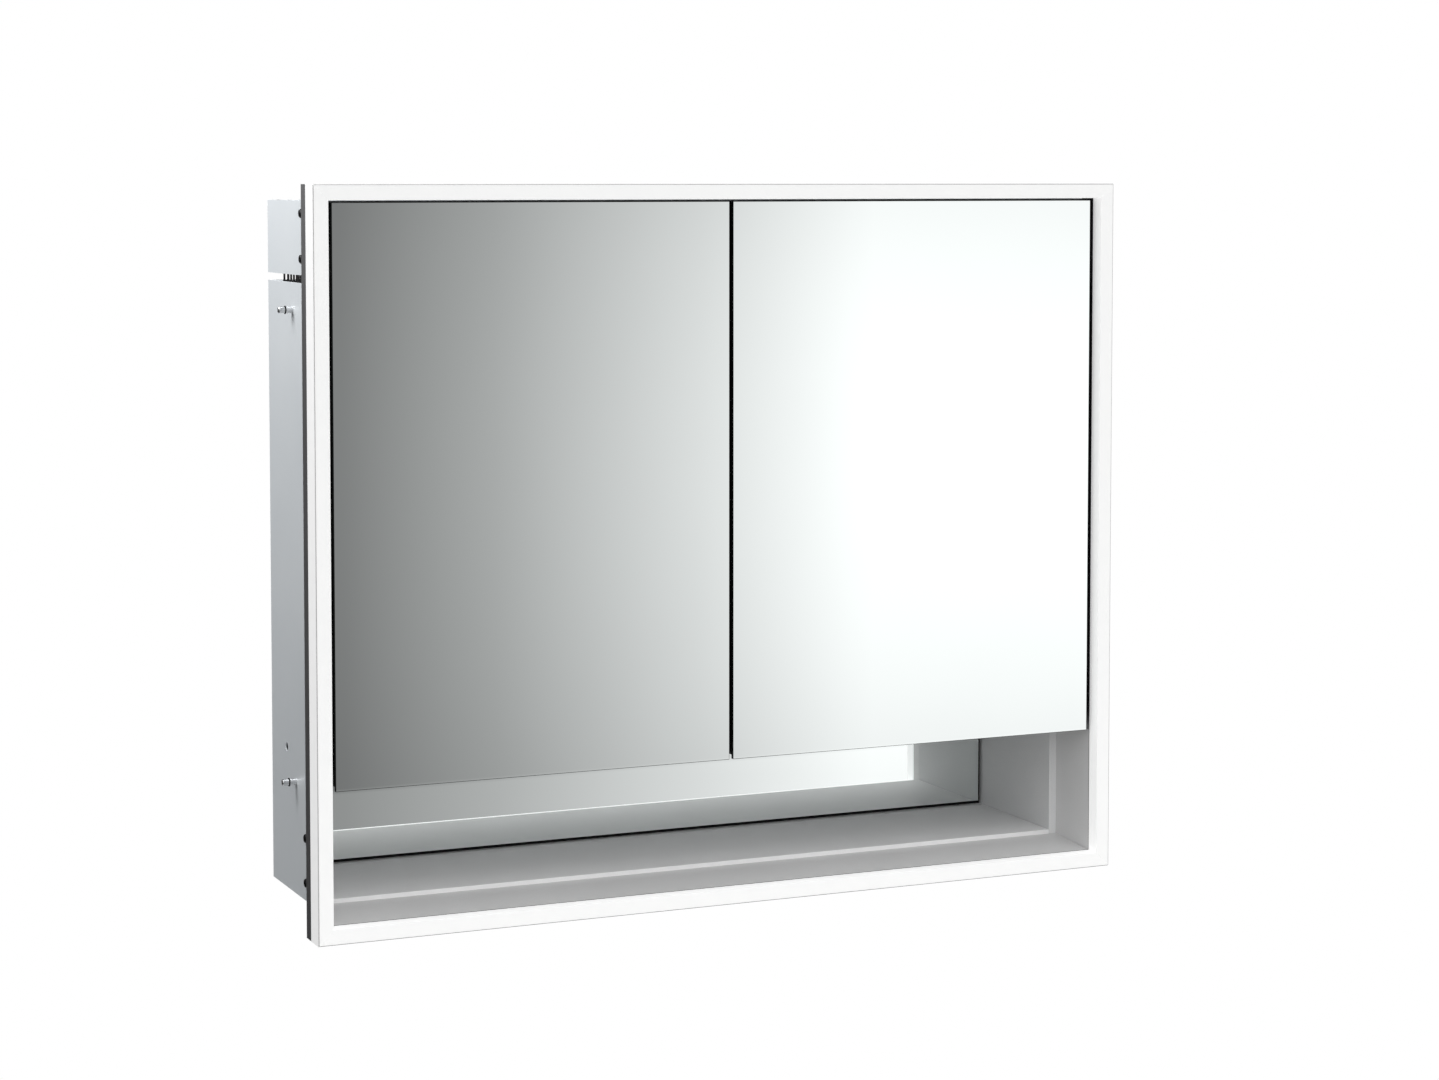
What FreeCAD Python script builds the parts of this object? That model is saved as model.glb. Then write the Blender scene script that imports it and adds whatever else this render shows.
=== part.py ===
"""Recessed bathroom mirror cabinet with an all-round light frame.

Row frame in millimetres: X to the right, Y into the wall, Z up.  The origin is at the middle
of the light frame's lower edge, on the wall plane: the frame stands out to negative Y and the
sheet-metal carcass goes back to positive Y.
"""
import os
import re

import FreeCAD, Part
import Sketcher

os.makedirs("parts", exist_ok=True)
doc = FreeCAD.newDocument("mirror_cabinet")

# ---------------------------------------------------------------- driving dimensions
SIZES = {
    # the whole cabinet and its light frame
    "width": 804, "height": 670, "frame_depth": 37, "frame_face": 14,
    "skirt": 23, "lip": 15, "glow_wall": 2.5, "lip_wall": 2, "profile_wall": 2, "glow_face": 3,
    "led_width": 8, "led_edge": 3, "led_end": 16, "led_thick": 1.2, "key_reach": 70, "play": 0.3,
    # carcass sheets and the slot under the service housing
    "side_inset": 10.4, "top_inset": 14.5, "bottom_inset": 24.4, "recess": 145, "sheet": 1.5,
    "slot_low": 581.8, "slot_high": 588.7, "comb_thick": 1, "comb_base": 1.5, "comb_front": 2,
    # niche and room
    "lining_inset": 38.3, "lining": 8.1, "niche_inset": 24.1, "niche_front": 24.5, "niche_back": 170.8,
    "box_clear": 0.5, "reveal_start": 14.3, "reveal_gap": 0.2, "reveal_run": 6,
    "floor_low": 22.4, "floor": 4.3, "floor_sheet": 0.8, "floor_clear": 5.5,
    "deck_low": 136, "deck": 8, "deck_front": 5, "head_low": 572,
    "fascia": 2, "mirror": 4, "mirror_play": 1.5, "mirror_gap": 0.5, "niche_gap": 3,
    "shelf": 6, "shelf_front": 24, "peg_radius": 2.5, "peg_pitch": 32, "peg_start": 50,
    "peg_front": 46, "peg_back": 105, "peg_nose": 9,
    # electrics
    "button_x": 214, "button_z": 618, "button_radius": 9, "button_travel": 1.5,
    "button_proud": 2, "button_length": 6.3, "button_flange": 2, "switch_half": 8, "switch_back": 21,
    "socket_x": 290, "socket_radius": 24, "socket_length": 22, "socket_lip": 2.5, "socket_proud": 1.5,
    "plug_radius": 19.5, "plug_depth": 15, "contact_radius": 2.5, "contact_offset": 9.5,
    "entry_x": -230, "entry_y": 95, "entry_radius": 4.5, "gland_inside": 8, "gland_length": 14,
    "gland_collar": 3, "driver_left": -120, "driver_right": 60, "driver_front": 60,
    "driver_back": 120, "driver_high": 32, "block_left": -260, "block_right": -200,
    "block_front": 40, "block_back": 62, "block_high": 20,
    "lamp_half": 340, "lamp_front": 11, "lamp_back": 29, "lamp_high": 7,
    # fixings on the sides
    "stem_radius": 2, "head_radius": 4, "head": 1.8, "screw_inside": 6,
    "tab": 2, "tab_depth": 55, "tab_margin": 8,
    "screw_depth": 36, "screw_low": 41, "screw_high": 603.2, "screw_pitch": 40.6,
    "pin_radius": 3, "pin_reach": 13, "pin_depth": 66, "pin_low": 128, "pin_high": 557,
    "nut": 4, "neck_start": 6.2, "neck": 1.2, "neck_cut": 0.4, "ring_proud": 0.9,
    "hole_radius": 4, "hole_depth": 96, "hole_height": 155,
    # doors and their pivots
    "door_setback": 10.5, "door_inset": 19.8, "door_low": 134.3, "door_high": 654,
    "door_gap": 3.5, "door_glass": 4, "door_rim": 12, "door_edge": 0.8, "door_lip": 3.5,
    "rim_face": 22, "rear_inset": 3, "pivot_inset": 30, "pivot_depth": 20, "pivot_radius": 3,
    "running": 0.05, "bush_radius": 4.5, "bush_length": 20, "washer_radius": 5.2, "washer": 1.5,
    "bracket": 3, "low_bracket": 2, "nose_radius": 4, "tongue": 8, "tongue_back": 24,
    "pivot_drop": 13, "pivot_rise": 14,
    "buffer_x": 30, "buffer_radius": 3.5, "buffer_gap": 0.4, "magnet_x": 60, "magnet_radius": 5,
    "magnet_gap": 1.6, "catch_drop": 12, "strike_radius": 7, "strike": 1,
}
sheet = doc.addObject("Spreadsheet::Sheet", "Sizes")
for row, (alias, value) in enumerate(SIZES.items(), start=1):
    sheet.set(f"A{row}", alias)
    sheet.set(f"B{row}", str(value))
    sheet.setAlias(f"B{row}", alias)
doc.recompute()

# Places that several pieces share, as expressions in the driving dimensions.
FRONT = "(-frame_depth)"
SKIRT_Y = "(skirt - frame_depth)"
LIP_Y = "(lip - frame_depth)"
SHELL_X = "(width / 2 - side_inset)"
INNER_X = "(width / 2 - side_inset - sheet)"
ROOM_X = "(width / 2 - lining_inset - lining)"
NICHE_X = "(width / 2 - niche_inset - lining)"
NICHE_OUT = "(width / 2 - niche_inset)"
NICHE_END = "(niche_back - sheet)"
BACK_Y = "(recess - sheet)"
GLASS_Y = "(recess - sheet - mirror_gap - mirror)"
FLOOR_TOP = "(floor_low + floor)"
DECK_TOP = "(deck_low + deck)"
DOOR_Y = "(door_setback - frame_depth)"
RIM_Y = "(door_setback + door_glass - frame_depth)"
RIM_BACK = "(door_setback + door_glass + door_rim - frame_depth)"
DOOR_BACK = "(door_setback + 2 * door_glass + door_rim - frame_depth)"
PIVOT_X = "(width / 2 - pivot_inset)"
PIVOT_Y = "(pivot_depth - frame_depth)"
RIM_LOW = "(door_low + door_lip)"
RIM_HIGH = "(door_high - door_lip)"
FASCIA_Y = "(deck_front - fascia)"
GLAND_RADIUS = "(entry_radius + 2)"

nodes = {}


def bound(text):
    """The expression with each driving dimension read from the sheet."""
    return re.sub(r"[a-z_]+", lambda m: f"Sizes.{m[0]}" if m[0] in SIZES else m[0], str(text))


def number(text):
    """What an expression comes to now, for the first guess of a sketch."""
    return float(sheet.evalExpression(bound(text).replace("Sizes.", "")))


def keep(obj, label):
    """Give a finished sub-part its own name, and list it."""
    obj.Label = label
    nodes[label] = obj
    return obj


def place(obj, x, y, z):
    for axis, text in zip("xyz", (x, y, z)):
        obj.setExpression(f"Placement.Base.{axis}", bound(text))


def block(x, y, z):
    """A box between two bounds on each axis."""
    box = doc.addObject("Part::Box", "Block")
    for side, (low, high) in zip(("Length", "Width", "Height"), (x, y, z)):
        box.setExpression(side, bound(f"({high}) - ({low})"))
    place(box, x[0], y[0], z[0])
    return box


TURNS = {
    "+X": FreeCAD.Rotation(FreeCAD.Vector(0, 1, 0), 90),
    "-X": FreeCAD.Rotation(FreeCAD.Vector(0, 1, 0), -90),
    "+Y": FreeCAD.Rotation(FreeCAD.Vector(1, 0, 0), -90),
    "+Z": FreeCAD.Rotation(),
}


def rod(start, radius, length, way="+Z"):
    """A cylinder from a start point along one axis."""
    cylinder = doc.addObject("Part::Cylinder", "Rod")
    cylinder.Placement.Rotation = TURNS[way]
    cylinder.setExpression("Radius", bound(radius))
    cylinder.setExpression("Height", bound(length))
    place(cylinder, *start)
    return cylinder


def fuse(pieces):
    fused = doc.addObject("Part::MultiFuse", "Fused")
    fused.Shapes = pieces
    return fused


def cut(base, tools):
    result = doc.addObject("Part::Cut", "Cut")
    result.Base = base
    result.Tool = tools[0] if len(tools) == 1 else fuse(tools)
    return result


def group(pieces):
    """Like pieces that share one node, each a solid of its own."""
    compound = doc.addObject("Part::Compound", "Group")
    compound.Links = pieces
    return compound


def new_body(name):
    return doc.addObject("PartDesign::Body", name)


def sketch_on(body, role, offset="0"):
    """A sketch on one of the body's own origin planes, moved out along its normal."""
    plane = next(f for f in body.Origin.OriginFeatures if f.Role == role)
    sketch = body.newObject("Sketcher::SketchObject", "Outline")
    sketch.AttachmentSupport = [(plane, "")]
    sketch.MapMode = "FlatFace"
    sketch.setExpression("AttachmentOffset.Base.z", bound(offset))
    return sketch


def outline(sketch, points):
    """A closed outline whose every corner is dimensioned from the sketch's origin."""
    first = sketch.GeometryCount
    corners = [FreeCAD.Vector(number(u), number(v), 0) for u, v in points]
    for start, end in zip(corners, corners[1:] + corners[:1]):
        sketch.addGeometry(Part.LineSegment(start, end), False)
    count = len(points)
    for i in range(count):
        following = first + (i + 1) % count
        sketch.addConstraint(Sketcher.Constraint("Coincident", first + i, 2, following, 1))
    for i, (u, v) in enumerate(points):
        for kind, text in (("DistanceX", u), ("DistanceY", v)):
            value = number(text)
            index = sketch.addConstraint(Sketcher.Constraint(kind, -1, 1, first + i, 1, value))
            sketch.setExpression(f"Constraints[{index}]", bound(text))


def circle(sketch, u, v, radius):
    """A circle dimensioned from the sketch's origin."""
    centre = FreeCAD.Vector(number(u), number(v), 0)
    index = sketch.addGeometry(Part.Circle(centre, FreeCAD.Vector(0, 0, 1), number(radius)), False)
    for kind, text in (("DistanceX", u), ("DistanceY", v)):
        fixed = sketch.addConstraint(Sketcher.Constraint(kind, -1, 1, index, 3, number(text)))
        sketch.setExpression(f"Constraints[{fixed}]", bound(text))
    fixed = sketch.addConstraint(Sketcher.Constraint("Radius", index, number(radius)))
    sketch.setExpression(f"Constraints[{fixed}]", bound(radius))


def rectangle(low_u, high_u, low_v, high_v):
    return [(low_u, low_v), (high_u, low_v), (high_u, high_v), (low_u, high_v)]


def pad(body, sketch, length, midplane=False):
    feature = body.newObject("PartDesign::Pad", "Pad")
    feature.Profile = sketch
    feature.setExpression("Length", bound(length))
    feature.Midplane = midplane


def pocket_through(body, sketch):
    """A pocket through everything, both ways from its sketch."""
    feature = body.newObject("PartDesign::Pocket", "Pocket")
    feature.Profile = sketch
    feature.Type = "ThroughAll"
    feature.Midplane = True


# ---------------------------------------------------------------- light frame
def frame_bar(name, length, section, turn, x, z):
    """A bar of the frame: its section swept along the side, with a mitre cut at each end.

    The section's first coordinate is the depth, its second the distance in from the outer edge.
    """
    body = new_body(name)
    profile = sketch_on(body, "YZ_Plane")
    outline(profile, section)
    pad(body, profile, length, midplane=True)
    mitres = sketch_on(body, "XZ_Plane")
    far = "(2 * frame_face)"
    for sign in ("", "-"):
        edge = f"{sign}({length} / 2)"
        tip = f"{sign}({length} / 2 - {far})"
        beyond = f"{sign}({length} / 2 + {far})"
        outline(mitres, [(edge, "0"), (tip, far), (beyond, far), (beyond, "0")])
    pocket_through(body, mitres)
    body.Placement.Rotation = FreeCAD.Rotation(FreeCAD.Vector(0, 1, 0), turn)
    place(body, x, "0", z)
    return keep(body, name)


SIDES = {
    "bottom": ("width", 0, "0", "0"),
    "top": ("width", 180, "0", "height"),
    "left": ("height", 90, "-width / 2", "height / 2"),
    "right": ("height", -90, "width / 2", "height / 2"),
}
LIP_IN = "(frame_face - lip_wall)"
WEB_Y = f"({SKIRT_Y} + profile_wall)"
PROFILE = [
    (SKIRT_Y, "0"), (SKIRT_Y, LIP_IN), (LIP_Y, LIP_IN), (LIP_Y, "frame_face"),
    ("0", "frame_face"), ("0", "0"),
]
CHAMBER = [(WEB_Y, "glow_wall"), (WEB_Y, LIP_IN), ("-profile_wall", LIP_IN),
           ("-profile_wall", "glow_wall")]
DIFFUSER = [
    (FRONT, "0"), (FRONT, "frame_face"), (LIP_Y, "frame_face"), (LIP_Y, LIP_IN),
    (f"{FRONT} + glow_face", LIP_IN), (f"{FRONT} + glow_face", "glow_wall"), (SKIRT_Y, "glow_wall"),
    (SKIRT_Y, "0"),
]
for side, (length, turn, x, z) in SIDES.items():
    bar = frame_bar(f"frame_profile_{side}", length, PROFILE, turn, x, z)
    chamber = sketch_on(bar, "YZ_Plane")
    outline(chamber, CHAMBER)
    pocket_through(bar, chamber)
    frame_bar(f"light_diffuser_{side}", length, DIFFUSER, turn, x, z)

# LED strips lie on the profile's web, under the diffuser.
LED_Y = (f"{SKIRT_Y} - led_thick", SKIRT_Y)
LED_FAR = "led_edge + led_width"
strips = [
    block(("-width / 2 + led_edge", f"-width / 2 + {LED_FAR}"), LED_Y, ("led_end", "height - led_end")),
    block((f"width / 2 - ({LED_FAR})", "width / 2 - led_edge"), LED_Y, ("led_end", "height - led_end")),
]
for low in ("led_edge", f"height - ({LED_FAR})"):
    strips.append(block(("-width / 2 + led_end", "width / 2 - led_end"), LED_Y,
                        (low, f"{low} + led_width")))
keep(group(strips), "led_strips")

# Corner keys join the profiles inside their chambers.
KEY_Y = (f"{WEB_Y} + play", "-profile_wall - play")
KEY_NEAR = "(glow_wall + play)"
KEY_FAR = f"({LIP_IN} - play)"
keys = []
for left in (True, False):
    x = [f"-width / 2 + {KEY_NEAR}", f"-width / 2 + {KEY_FAR}", "-width / 2 + key_reach"]
    if not left:
        x = [f"width / 2 - {KEY_FAR}", f"width / 2 - {KEY_NEAR}", "width / 2 - key_reach"]
    for low in (True, False):
        z = [KEY_NEAR, KEY_FAR, "key_reach"]
        if not low:
            z = [f"height - {KEY_FAR}", f"height - {KEY_NEAR}", "height - key_reach"]
        upright = block((x[0], x[1]), KEY_Y, (z[0], z[2]) if low else (z[2], z[1]))
        level = block((x[0], x[2]) if left else (x[2], x[1]), KEY_Y, (z[0], z[1]))
        keys.append(fuse([upright, level]))
keep(group(keys), "corner_keys")


# ---------------------------------------------------------------- carcass
def mirrored(side, low, high):
    """Bounds on X measured from the middle, for the left or the right side."""
    return (f"-({high})", f"-({low})") if side == "left" else (low, high)


def at_side(side, x):
    return f"-({x})" if side == "left" else x


def outward(side):
    return "-X" if side == "left" else "+X"


SCREW_ROWS = ["screw_low", "screw_low + screw_pitch", "screw_high", "screw_high + screw_pitch"]
PIN_ROWS = ["pin_low", "pin_high"]

def side_rod(side, start, depth, height, radius, length):
    """A round piece or tool that points outward on one side of the carcass."""
    return rod((at_side(side, start), depth, height), radius, length, outward(side))


def side_hole(side, depth, height, radius):
    """A tool that goes right through a side sheet."""
    return side_rod(side, f"{INNER_X} - 1", depth, height, radius, "sheet + 2")


for side in ("left", "right"):
    panel = block(mirrored(side, INNER_X, SHELL_X), ("0", "recess"), ("bottom_inset", "slot_low"))
    holes = [side_hole(side, "screw_depth", z, "stem_radius") for z in SCREW_ROWS[:2]]
    holes += [side_hole(side, "pin_depth", z, "stem_radius") for z in PIN_ROWS]
    holes.append(side_hole(side, "hole_depth", "hole_height", "hole_radius"))
    keep(cut(panel, holes), f"side_panel_{side}")
INSIDE = (f"-{INNER_X}", INNER_X)
PANEL_FRONT = "(niche_front + floor_clear)"
PANEL_TOP = "(bottom_inset + sheet)"
keep(block(INSIDE, (PANEL_FRONT, BACK_Y), ("bottom_inset", PANEL_TOP)), "bottom_panel")

# The niche is deeper than the rest: its box goes through the back sheet and stands out behind.
BOX_X = f"({NICHE_OUT} + box_clear)"
opening = block((f"-{BOX_X}", BOX_X), (f"{BACK_Y} - 1", NICHE_END), (PANEL_TOP, "deck_low"))
keep(cut(block(INSIDE, (BACK_Y, "recess"), ("bottom_inset", "slot_low")), [opening]), "back_panel")
shell = block((f"-({BOX_X} + sheet)", f"{BOX_X} + sheet"), ("recess", "niche_back"),
              ("bottom_inset", "deck_low + sheet"))
hollow = block((f"-{BOX_X}", BOX_X), ("recess - 1", NICHE_END), (PANEL_TOP, "deck_low"))
keep(cut(shell, [hollow]), "niche_box")
keep(block(INSIDE, (f"{FASCIA_Y} + 2", BACK_Y), ("slot_low - sheet", "slot_low")), "carcass_top")

# The service housing over the cabinet is riveted from flat sheets and open to the front.
HOUSE_TOP = "(height - top_inset)"
HOUSE_FLOOR = "(slot_high + sheet)"
entry = rod(("entry_x", "entry_y", f"{HOUSE_TOP} - sheet - 1"), f"{GLAND_RADIUS} + 0.1", "sheet + 2")
sheets = [
    cut(block(INSIDE, ("0", "recess"), (f"{HOUSE_TOP} - sheet", HOUSE_TOP)), [entry]),
    block(INSIDE, ("deck_front", "recess"), ("slot_high", HOUSE_FLOOR)),
    block(INSIDE, (BACK_Y, "recess"), (HOUSE_FLOOR, f"{HOUSE_TOP} - sheet")),
]
for side in ("left", "right"):
    end = block(mirrored(side, INNER_X, SHELL_X), ("0", "recess"), ("slot_high", HOUSE_TOP))
    sheets.append(cut(end, [side_hole(side, "screw_depth", z, "stem_radius") for z in SCREW_ROWS[2:]]))
keep(group(sheets), "service_housing")

# The uneven black comb that spaces the housing off the carcass, one on each side.  Each tooth
# is given as its start along Y and its breadth.
TEETH = [(35, 8), (46, 10), (61, 4), (70, 4), (79, 5), (92, 4)]
COMB_TOP = "slot_low + comb_base"
combs = []
for side in ("left", "right"):
    body = new_body(f"vent_comb_{side}")
    comb = sketch_on(body, "YZ_Plane", at_side(side, f"{SHELL_X} - comb_thick"))
    points = [("comb_front", "slot_low"), ("comb_front", COMB_TOP)]
    for start, broad in TEETH:
        points += [(start, COMB_TOP), (start, "slot_high"),
                   (start + broad, "slot_high"), (start + broad, COMB_TOP)]
    last = TEETH[-1][0] + TEETH[-1][1] + 1
    points += [(last, COMB_TOP), (last, "slot_low")]
    outline(comb, points)
    pad(body, comb, "comb_thick", midplane=True)
    combs.append(body)
keep(group(combs), "vent_combs")


# ---------------------------------------------------------------- inside walls
def peg_row(step):
    """The height of one row of shelf-peg holes."""
    return f"({DECK_TOP} + peg_start + peg_pitch * {step})"


PEG_LINES = ("peg_front", "peg_back")
PEG_ROWS = 11
SHELF_ROWS = (3, 7)
for side in ("left", "right"):
    wall = block(mirrored(side, NICHE_X, NICHE_OUT), ("niche_front", NICHE_END), ("floor_low", "deck_low"))
    foot = block(mirrored(side, f"{NICHE_X} - 1", INNER_X), (PANEL_FRONT, "niche_back"),
                 ("floor_low - 1", PANEL_TOP))
    keep(cut(wall, [foot]), f"niche_lining_{side}")
    edges = mirrored(side, ROOM_X, "width / 2 - lining_inset")
    wall = block(edges, ("deck_front", BACK_Y), (DECK_TOP, "head_low"))
    start = at_side(side, f"{ROOM_X} - 1")
    rows = [rod((start, y, peg_row(step)), "peg_radius", "lining + 2", outward(side))
            for y in PEG_LINES for step in range(PEG_ROWS)]
    keep(cut(wall, rows), f"room_lining_{side}")
# The niche's floor is a sheet with its front edge folded down.
body = new_body("niche_floor_sheet")
fold = sketch_on(body, "YZ_Plane")
outline(fold, [
    ("niche_front", "floor_low"), ("niche_front", FLOOR_TOP), (NICHE_END, FLOOR_TOP),
    (NICHE_END, f"{FLOOR_TOP} - floor_sheet"),
    ("niche_front + floor_sheet", f"{FLOOR_TOP} - floor_sheet"),
    ("niche_front + floor_sheet", "floor_low")])
pad(body, fold, f"2 * {NICHE_X}", midplane=True)
keep(body, "niche_floor")
keep(block(INSIDE, ("deck_front", BACK_Y), ("deck_low", DECK_TOP)), "middle_floor")
keep(block(INSIDE, ("deck_front", BACK_Y), ("head_low", "head_low + deck")), "room_ceiling")


# The niche's splayed reveal: three flat plates that run from the frame's lip to the lining.
def reveal(corners):
    """A flat plate at a slant, pushed back in depth so that its mitres meet face to face."""
    points = [FreeCAD.Vector(*(number(value) for value in corner)) for corner in corners]
    face = Part.Face(Part.makePolygon(points + points[:1]))
    plate = doc.addObject("Part::Feature", "Reveal")
    plate.Shape = face.extrude(FreeCAD.Vector(0, number("reveal_run"), 0))
    return plate


REVEAL_FRONT = f"{LIP_Y} + reveal_gap"
REVEAL_BACK = "niche_front"
REVEAL_TOP = "door_low - 2 * play"
cheeks = []
for side in ("left", "right"):
    near = at_side(side, "width / 2 - reveal_start")
    far = at_side(side, NICHE_OUT)
    cheeks.append(reveal([
        (near, REVEAL_FRONT, "reveal_start"), (far, REVEAL_BACK, "floor_low"),
        (far, REVEAL_BACK, REVEAL_TOP), (near, REVEAL_FRONT, REVEAL_TOP)]))
keep(group(cheeks), "niche_reveal_sides")
sill = reveal([
    ("-width / 2 + reveal_start", REVEAL_FRONT, "reveal_start"),
    (f"-{NICHE_OUT}", REVEAL_BACK, "floor_low"),
    (NICHE_OUT, REVEAL_BACK, "floor_low"),
    ("width / 2 - reveal_start", REVEAL_FRONT, "reveal_start")])
keep(sill, "niche_reveal_bottom")

# Mirrors at the back of the niche and of the cabinet.
BACK_GLASS = (GLASS_Y, f"{GLASS_Y} + mirror")
NICHE_GLASS_Y = f"({NICHE_END} - mirror_gap - mirror)"
keep(block((f"-{NICHE_X} + mirror_play", f"{NICHE_X} - niche_gap"),
           (NICHE_GLASS_Y, f"{NICHE_GLASS_Y} + mirror"),
           (f"{FLOOR_TOP} + niche_gap", "deck_low - mirror_gap")), "niche_mirror")
PANE_X = (f"-{ROOM_X} + mirror_play", f"{ROOM_X} - mirror_play")
keep(block(PANE_X, BACK_GLASS, (f"{DECK_TOP} + 2 * mirror_gap", "head_low - 2 * mirror_gap")),
     "room_mirror")

# Glass shelves on pegs that stand in the lining's rows of holes.
pegs, shelves = [], []
for step in SHELF_ROWS:
    row = peg_row(step)
    plate_low = f"({row} + peg_radius)"
    shelves.append(block(PANE_X, ("shelf_front", f"{GLASS_Y} - niche_gap"),
                         (plate_low, f"{plate_low} + shelf")))
    for side in ("left", "right"):
        for y in PEG_LINES:
            pegs.append(rod((at_side(side, f"{ROOM_X} - peg_nose"), y, row), "peg_radius",
                            "peg_nose + lining", outward(side)))
keep(group(shelves), "glass_shelves")
keep(group(pegs), "shelf_pegs")


# ---------------------------------------------------------------- service fascia and electrics
FASCIA_X = f"({INNER_X} - sheet - 1)"
FASCIA_HIGH = "(door_high - bracket - 2 * play)"


def through_fascia(x, radius):
    return rod((x, f"{FASCIA_Y} - 1", "button_z"), radius, "fascia + 2", "+Y")


fascia = cut(
    block((f"-{FASCIA_X}", FASCIA_X), (FASCIA_Y, "deck_front"), ("head_low", FASCIA_HIGH)),
    [through_fascia("button_x", "button_radius + play"), through_fascia("socket_x", "socket_radius")])
keep(fascia, "service_fascia")
contacts = [rod((f"socket_x + {way}", FASCIA_Y, "button_z"), "contact_radius", "plug_depth", "+Y")
            for way in ("contact_offset", "(-contact_offset)")]
socket = cut(
    fuse([rod(("socket_x", f"{FASCIA_Y} - socket_proud", "button_z"), "socket_radius + socket_lip",
              "socket_proud", "+Y"),
          rod(("socket_x", FASCIA_Y, "button_z"), "socket_radius", "socket_length", "+Y")]),
    [rod(("socket_x", f"{FASCIA_Y} - 2", "button_z"), "plug_radius", "plug_depth + 0.5", "+Y")]
    + contacts)
keep(socket, "socket_outlet")
button = fuse([
    rod(("button_x", f"{FASCIA_Y} - button_proud", "button_z"), "button_radius", "button_length", "+Y"),
    rod(("button_x", "deck_front + play", "button_z"), "button_radius + 2", "button_flange", "+Y")])
keep(button, "light_button")
SWITCH_FRONT = "deck_front + 2 * play + button_flange + button_travel"
keep(block(("button_x - switch_half", "button_x + switch_half"), (SWITCH_FRONT, "switch_back"),
           ("button_z - switch_half", "button_z + switch_half")), "light_switch")
keep(block(("driver_left", "driver_right"), ("driver_front", "driver_back"),
           (HOUSE_FLOOR, f"{HOUSE_FLOOR} + driver_high")), "led_driver")
keep(block(("block_left", "block_right"), ("block_front", "block_back"),
           (HOUSE_FLOOR, f"{HOUSE_FLOOR} + block_high")), "terminal_block")
GLAND_LOW = f"{HOUSE_TOP} - sheet - gland_inside"
gland = cut(
    fuse([rod(("entry_x", "entry_y", GLAND_LOW), GLAND_RADIUS, "gland_length"),
          rod(("entry_x", "entry_y", HOUSE_TOP), f"{GLAND_RADIUS} + 2", "gland_collar")]),
    [rod(("entry_x", "entry_y", f"{GLAND_LOW} - 1"), "entry_radius", "gland_length + 2")])
keep(gland, "cable_gland")
keep(block(("-lamp_half", "lamp_half"), ("lamp_front", "lamp_back"), ("head_low - lamp_high", "head_low")),
     "room_light")

# ---------------------------------------------------------------- fixings on the sides
brackets, screws, pins, collars = [], [], [], []
NECK_RADIUS = "(pin_radius - neck_cut)"
NECK_END = "(neck_start + neck)"
for side in ("left", "right"):
    for low in (SCREW_ROWS[0], SCREW_ROWS[2]):
        plate = block(mirrored(side, f"{INNER_X} - tab", INNER_X), ("0", "tab_depth"),
                      (f"{low} - tab_margin", f"{low} + screw_pitch + tab_margin"))
        holes = [side_rod(side, f"{INNER_X} - tab - 1", "screw_depth", z, "stem_radius", "tab + 2")
                 for z in (low, f"{low} + screw_pitch")]
        brackets.append(cut(plate, holes))
    for z in SCREW_ROWS:
        stem = side_rod(side, f"{INNER_X} - screw_inside", "screw_depth", z, "stem_radius",
                        "screw_inside + sheet")
        head = side_rod(side, SHELL_X, "screw_depth", z, "head_radius", "head")
        screws.append(fuse([stem, head]))
    for z in PIN_ROWS:
        nut = side_rod(side, f"{INNER_X} - nut", "pin_depth", z, "pin_radius + 2", "nut")
        stem = side_rod(side, INNER_X, "pin_depth", z, "stem_radius", "sheet")
        root = side_rod(side, SHELL_X, "pin_depth", z, "pin_radius", "neck_start")
        neck = side_rod(side, f"{SHELL_X} + neck_start", "pin_depth", z, NECK_RADIUS, "neck")
        tip = side_rod(side, f"{SHELL_X} + {NECK_END}", "pin_depth", z, "pin_radius",
                       f"pin_reach - {NECK_END}")
        pins.append(fuse([nut, stem, root, neck, tip]))
        ring = side_rod(side, f"{SHELL_X} + neck_start + 0.1", "pin_depth", z,
                        "pin_radius + ring_proud", "neck - 0.3")
        core = side_rod(side, f"{SHELL_X} + neck_start", "pin_depth", z, NECK_RADIUS, "neck")
        collars.append(cut(ring, [core]))
keep(group(brackets), "frame_brackets")
keep(group(screws), "frame_screws")
keep(group(pins), "hanging_pins")
keep(group(collars), "pin_collars")


# ---------------------------------------------------------------- door pivots
def pivot_bracket(side, low, thick):
    """A narrow steel tongue that carries a pivot pin, rounded about the pin."""
    x = at_side(side, PIVOT_X)
    nose = rod((x, PIVOT_Y, low), "nose_radius", thick)
    tongue = block(mirrored(side, f"{PIVOT_X} - tongue", PIVOT_X), (PIVOT_Y, "tongue_back"),
                   (low, f"{low} + {thick}"))
    hole = rod((x, PIVOT_Y, f"{low} - 1"), "pivot_radius", f"{thick} + 2")
    return cut(fuse([nose, tongue]), [hole])


UPPER_LOW = "(door_high - bracket)"
LOWER_LOW = "(deck_low - low_bracket)"
washers, pivots = [], []
for side in ("left", "right"):
    x = at_side(side, PIVOT_X)
    pivots.append(rod((x, PIVOT_Y, f"{UPPER_LOW} - pivot_drop"), "pivot_radius", "pivot_drop + bracket"))
    pivots.append(rod((x, PIVOT_Y, LOWER_LOW), "pivot_radius", "low_bracket + pivot_rise"))
    washers.append(cut(rod((x, PIVOT_Y, "deck_low"), "washer_radius", "washer"),
                       [rod((x, PIVOT_Y, "deck_low - 1"), "pivot_radius + 0.1", "washer + 2")]))
keep(group([pivot_bracket(side, UPPER_LOW, "bracket") for side in ("left", "right")]),
     "upper_pivot_brackets")
keep(group([pivot_bracket(side, LOWER_LOW, "low_bracket") for side in ("left", "right")]),
     "lower_pivot_brackets")
keep(group(pivots), "pivot_pins")
keep(group(washers), "pivot_washers")

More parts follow.
